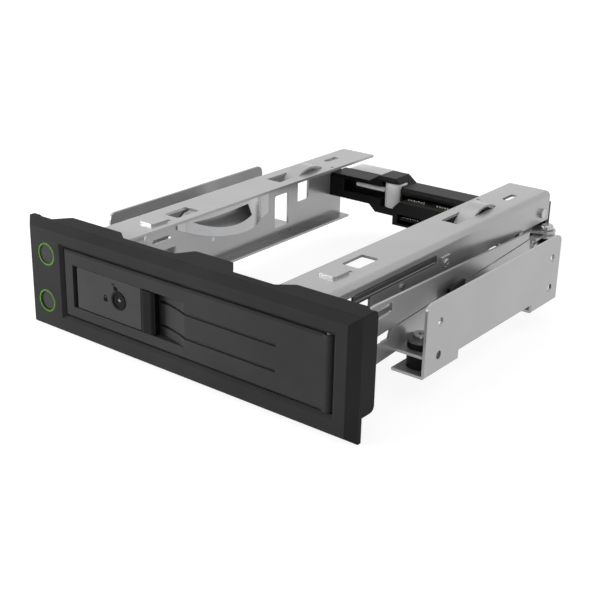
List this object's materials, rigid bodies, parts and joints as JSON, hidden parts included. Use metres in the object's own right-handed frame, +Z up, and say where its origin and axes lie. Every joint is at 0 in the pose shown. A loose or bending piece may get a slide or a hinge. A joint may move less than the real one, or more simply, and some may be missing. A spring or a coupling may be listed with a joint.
{
  "type": "hot swap drive cage",
  "caption": "Open-topped cage that fills one wide front bay and takes one bare hard drive through a hinged, latched door; opening the door swings a crank that pushes the drive out.",
  "frame": {"origin": "on the floor plane through the bezel's lower edge, under the middle of the overall box", "axes": "+X to the right seen from the front, +Y rearward into the chassis, +Z up; the bezel's face looks along -Y"},
  "size_m": [0.148, 0.18, 0.042],
  "materials": {
    "bezel_black": "fine moulded grain",
    "door_grey": "fine moulded grain",
    "latch_grey": "fine moulded grain",
    "ring_green": "smooth, lets light through",
    "button_grey": "smooth",
    "board_green": "solder mask over glass fibre",
    "sheet_steel": "plated sheet, satin",
    "spring_steel": "bright rolled strip",
    "fastener_steel": "bright plated",
    "rubber_black": "matte",
    "plastic_black": "fine moulded grain",
    "plastic_white": "smooth",
    "lock_steel": "dark plated",
    "contact_brass": "bright"
  },
  "bodies": {
    "cage": {"front_bezel": "bezel_black", "hinge_pin": "fastener_steel", "activity_light_ring": "ring_green", "reset_light_ring": "ring_green", "activity_lens": "button_grey", "activity_led": "plastic_white", "front_board": "board_green", "board_screws": "fastener_steel", "reset_switch": "plastic_black", "right_rail": "sheet_steel", "left_rail": "sheet_steel", "right_leaf_spring": "spring_steel", "left_leaf_spring": "spring_steel", "right_side_arm": "sheet_steel", "left_side_arm": "sheet_steel", "right_mount_tab": "sheet_steel", "left_mount_tab": "sheet_steel", "right_side_bracket": "sheet_steel", "left_side_bracket": "sheet_steel", "front_rubber_dampers": "rubber_black", "rear_rubber_dampers": "rubber_black", "damper_washers": "lock_steel", "damper_screws": "fastener_steel", "arm_screws": "fastener_steel", "rail_screws": "fastener_steel", "wall_rivets": "fastener_steel", "leaf_spring_rivets": "fastener_steel", "crank_bush": "plastic_black", "crank_pivot": "fastener_steel", "link_guide": "plastic_black", "rear_bar": "plastic_black", "bar_screws": "fastener_steel", "buffer_capacitor": "plastic_white", "capacitor_lead": "plastic_white", "backplane_board": "board_green", "backplane_screws": "fastener_steel", "drive_connector": "plastic_black", "drive_contacts": "contact_brass", "power_connector": "plastic_white", "power_pins": "contact_brass", "data_connector": "plastic_black"},
    "door": {"door_panel": "door_grey", "hinge_arm": "sheet_steel", "hinge_arm_rivets": "fastener_steel", "link_pin": "fastener_steel", "latch_pin": "fastener_steel", "latch_spring": "spring_steel"},
    "latch": {"latch_lever": "latch_grey", "lock_barrel": "lock_steel"},
    "lock": {"lock_cylinder": "lock_steel", "lock_cam": "lock_steel"},
    "reset": {"reset_button": "button_grey"},
    "link": {"eject_link": "sheet_steel"},
    "crank": {"eject_crank": "sheet_steel", "crank_pin": "fastener_steel"}
  },
  "joints": [
    {"name": "door_hinge", "type": "hinge", "parent": "cage", "child": "door", "pos_m": [0.0629, -0.0876, 0.0212], "axis": [0, 0, 1], "range_deg": [0, 95]},
    {"name": "latch_hinge", "type": "hinge", "parent": "door", "child": "latch", "pos_m": [-0.045, -0.0874, 0.02095], "axis": [0, 0, -1], "range_deg": [0, 30], "stiffness_Nm_per_rad": 0.01, "springref_deg": -5.73},
    {"name": "lock_turn", "type": "hinge", "parent": "latch", "child": "lock", "pos_m": [-0.026, -0.0867, 0.0213], "axis": [0, 1, 0], "range_deg": [0, 90]},
    {"name": "reset_press", "type": "slide", "parent": "cage", "child": "reset", "axis": [0, 1, 0], "range_m": [0, 0.001], "stiffness_N_per_m": 150, "springref_m": -0.0005},
    {"name": "eject_link_hinge", "type": "hinge", "parent": "door", "child": "link", "pos_m": [0.05989, -0.08426, 0.0285], "axis": [0, 0, 1], "range_deg": [-97, 0.5]},
    {"name": "eject_crank_hinge", "type": "hinge", "parent": "cage", "child": "crank", "pos_m": [0.0543, 0.0715, 0.0236], "axis": [0, 0, 1], "range_deg": [-0.5, 45]}
  ],
  "couplings": [
    {"joint": "eject_link_hinge", "follows": "door_hinge", "ratio": -1.0121},
    {"joint": "eject_crank_hinge", "follows": "door_hinge", "ratio": 0.466}
  ]
}
